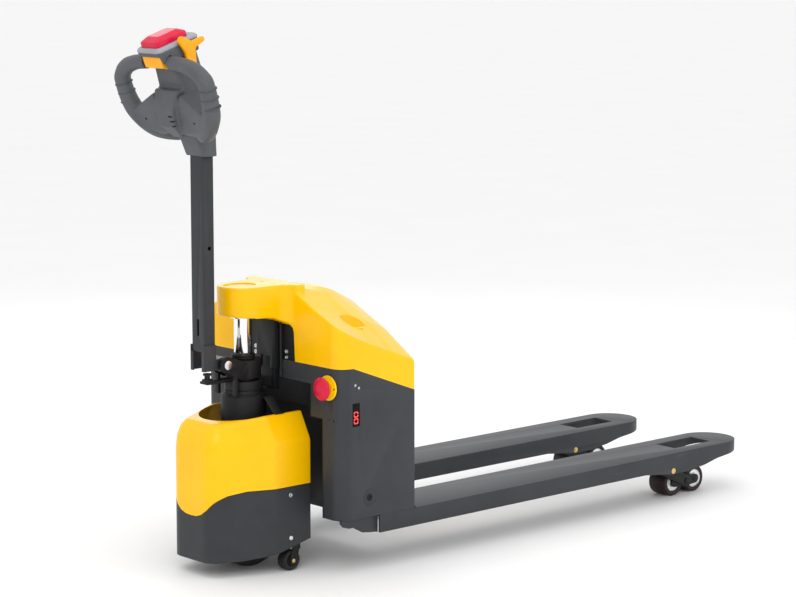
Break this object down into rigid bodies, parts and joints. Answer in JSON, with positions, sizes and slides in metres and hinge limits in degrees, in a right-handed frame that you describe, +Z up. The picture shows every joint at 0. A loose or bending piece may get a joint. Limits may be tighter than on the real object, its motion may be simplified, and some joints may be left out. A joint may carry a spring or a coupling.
{
  "type": "electric pallet truck",
  "caption": "Walk-behind electric pallet truck with twin forks, tandem load rollers, steering drive unit, folding tiller with looped grips and a lifting battery chassis.",
  "frame": {"origin": "floor level, at the middle of the overall length and width", "axes": "+X towards the fork tips, +Z up, +Y to the left seen looking along +X"},
  "size_m": [1.8272, 0.52, 1.3032],
  "materials": {
    "frame_grey": "satin",
    "frame_black": "satin",
    "hood_yellow": "gloss",
    "cover_yellow": "gloss",
    "chrome": "polished",
    "cast_black": "satin",
    "linkage_steel": "oiled",
    "steel_bolt": "bright",
    "axle_brass": "satin",
    "drive_tyre": "matte",
    "hub_metal": "cast",
    "roller_tread": "satin",
    "motor_grey": "cast",
    "rubber_black": "matte",
    "tiller_plastic": "textured",
    "pod_plastic": "satin",
    "red_plastic": "gloss",
    "lever_yellow": "gloss",
    "ring_yellow": "gloss",
    "battery_case": "matte",
    "display_black": "gloss",
    "digit_red": "lit",
    "lamp_clear": "gloss",
    "cap_grey": "satin",
    "skirt_grey": "satin"
  },
  "bodies": {
    "guide_yoke": {"guide_yoke": "frame_black"},
    "drive_unit": {"lift_cylinder": "cast_black", "neck_drum": "frame_black", "tiller_bracket": "cast_black", "tiller_pivot_pin": "steel_bolt", "tiller_bumper": "rubber_black", "drive_frame": "frame_black", "traction_motor": "motor_grey", "pump_motor": "motor_grey", "stabiliser_frame": "frame_black", "stabiliser_axles": "axle_brass", "cover_lower": "skirt_grey", "cover_upper": "cover_yellow", "cover_screws": "steel_bolt", "cover_straps": "frame_black"},
    "drive_wheel": {"drive_tyre": "drive_tyre", "drive_hub": "hub_metal"},
    "stabiliser_left": {"stabiliser_wheel_left": "rubber_black"},
    "stabiliser_right": {"stabiliser_wheel_right": "rubber_black"},
    "chassis": {"fork_left": "frame_grey", "fork_right": "frame_grey", "box_shell": "frame_grey", "recess_liner": "frame_black", "floor_frame": "frame_grey", "mast_plate": "frame_black", "mast_bolts": "steel_bolt", "guide_column": "frame_black", "bridge_beam": "frame_black", "lift_rod": "chrome", "hood": "hood_yellow", "battery_pack": "battery_case", "estop_ring": "ring_yellow", "display_window": "display_black", "display_digits": "digit_red", "indicator_lamps": "lamp_clear", "pivot_caps": "cap_grey", "arm_pins": "axle_brass", "conduit": "rubber_black"},
    "emergency_stop": {"estop_button": "red_plastic"},
    "crank_left": {"bell_crank_left": "linkage_steel"},
    "crank_right": {"bell_crank_right": "linkage_steel"},
    "rod_left": {"push_rod_left": "linkage_steel"},
    "rod_right": {"push_rod_right": "linkage_steel"},
    "arm_left": {"load_arm_left": "frame_black"},
    "arm_right": {"load_arm_right": "frame_black"},
    "tandem_left": {"bogie_left": "steel_bolt"},
    "tandem_right": {"bogie_right": "steel_bolt"},
    "roller_front_left": {"roller_fl": "roller_tread"},
    "roller_rear_left": {"roller_rl": "roller_tread"},
    "roller_front_right": {"roller_fr": "roller_tread"},
    "roller_rear_right": {"roller_rr": "roller_tread"},
    "tiller": {"tiller_foot": "frame_grey", "tiller_tube": "frame_grey", "tiller_spring": "linkage_steel", "tiller_head": "tiller_plastic", "tiller_grips": "tiller_plastic", "head_pod": "pod_plastic"},
    "belly": {"belly_button": "red_plastic"},
    "throttle_lever": {"throttle": "lever_yellow"},
    "lift_button": {"lift_switch": "lever_yellow"}
  },
  "joints": [
    {"name": "steer", "type": "hinge", "parent": "guide_yoke", "child": "drive_unit", "pos_m": [-0.63794, 0, 0.133], "axis": [0, 0, 1], "range_deg": [-90, 90]},
    {"name": "lift", "type": "slide", "parent": "guide_yoke", "child": "chassis", "axis": [0, 0, 1], "range_m": [-0.048, 0.047]},
    {"name": "drive_spin", "type": "hinge", "parent": "drive_unit", "child": "drive_wheel", "pos_m": [-0.63794, 0, 0.105], "axis": [0, 1, 0], "continuous": true},
    {"name": "stabiliser_spin_left", "type": "hinge", "parent": "drive_unit", "child": "stabiliser_left", "pos_m": [-0.59844, 0.118, 0.025], "axis": [0, 1, 0], "continuous": true},
    {"name": "stabiliser_spin_right", "type": "hinge", "parent": "drive_unit", "child": "stabiliser_right", "pos_m": [-0.59844, -0.118, 0.025], "axis": [0, 1, 0], "continuous": true},
    {"name": "tiller_tilt", "type": "hinge", "parent": "drive_unit", "child": "tiller", "pos_m": [-0.71744, 0, 0.503], "axis": [0, -1, 0], "range_deg": [0, 70], "stiffness_Nm_per_rad": 25, "springref_deg": -34.38},
    {"name": "belly_press", "type": "slide", "parent": "tiller", "child": "belly", "axis": [0.309, 0, -0.9511], "range_m": [0, 0.0035], "stiffness_N_per_m": 900, "springref_m": -0.012},
    {"name": "throttle_twist", "type": "hinge", "parent": "tiller", "child": "throttle_lever", "pos_m": [-0.83005, 0, 1.2567], "axis": [0, 1, 0], "range_deg": [-25, 25], "stiffness_Nm_per_rad": 1.5},
    {"name": "lift_button_press", "type": "slide", "parent": "tiller", "child": "lift_button", "axis": [0.9511, 0, 0.309], "range_m": [0, 0.003], "stiffness_N_per_m": 900, "springref_m": -0.008},
    {"name": "emergency_stop_press", "type": "slide", "parent": "chassis", "child": "emergency_stop", "axis": [1, 0, 0], "range_m": [0, 0.004]},
    {"name": "crank_left_turn", "type": "hinge", "parent": "chassis", "child": "crank_left", "pos_m": [-0.46344, 0.182, 0.181], "axis": [0, -1, 0], "range_deg": [-12, 12]},
    {"name": "rod_left_slide", "type": "slide", "parent": "chassis", "child": "rod_left", "axis": [1, 0, 0], "range_m": [-0.0145, 0.0145]},
    {"name": "arm_left_turn", "type": "hinge", "parent": "chassis", "child": "arm_left", "pos_m": [0.61956, 0.182, 0.0844], "axis": [0, 1, 0], "range_deg": [-31, 30.5]},
    {"name": "tandem_left_rock", "type": "hinge", "parent": "arm_left", "child": "tandem_left", "pos_m": [0.71548, 0.182, 0.037], "axis": [0, 1, 0], "range_deg": [-35, 35]},
    {"name": "roller_front_left_spin", "type": "hinge", "parent": "tandem_left", "child": "roller_front_left", "pos_m": [0.67398, 0.182, 0.037], "axis": [0, 1, 0], "continuous": true},
    {"name": "roller_rear_left_spin", "type": "hinge", "parent": "tandem_left", "child": "roller_rear_left", "pos_m": [0.75698, 0.182, 0.037], "axis": [0, 1, 0], "continuous": true},
    {"name": "crank_right_turn", "type": "hinge", "parent": "chassis", "child": "crank_right", "pos_m": [-0.46344, -0.182, 0.181], "axis": [0, -1, 0], "range_deg": [-12, 12]},
    {"name": "rod_right_slide", "type": "slide", "parent": "chassis", "child": "rod_right", "axis": [1, 0, 0], "range_m": [-0.0145, 0.0145]},
    {"name": "arm_right_turn", "type": "hinge", "parent": "chassis", "child": "arm_right", "pos_m": [0.61956, -0.182, 0.0844], "axis": [0, 1, 0], "range_deg": [-31, 30.5]},
    {"name": "tandem_right_rock", "type": "hinge", "parent": "arm_right", "child": "tandem_right", "pos_m": [0.71548, -0.182, 0.037], "axis": [0, 1, 0], "range_deg": [-35, 35]},
    {"name": "roller_front_right_spin", "type": "hinge", "parent": "tandem_right", "child": "roller_front_right", "pos_m": [0.67398, -0.182, 0.037], "axis": [0, 1, 0], "continuous": true},
    {"name": "roller_rear_right_spin", "type": "hinge", "parent": "tandem_right", "child": "roller_rear_right", "pos_m": [0.75698, -0.182, 0.037], "axis": [0, 1, 0], "continuous": true}
  ],
  "couplings": [
    {"joint": "crank_left_turn", "follows": "lift", "rad_per_m": 4.0755},
    {"joint": "rod_left_slide", "follows": "lift", "ratio": 0.28528},
    {"joint": "arm_left_turn", "follows": "lift", "rad_per_m": 11},
    {"joint": "crank_right_turn", "follows": "lift", "rad_per_m": 4.0755},
    {"joint": "rod_right_slide", "follows": "lift", "ratio": 0.28528},
    {"joint": "arm_right_turn", "follows": "lift", "rad_per_m": 11}
  ]
}
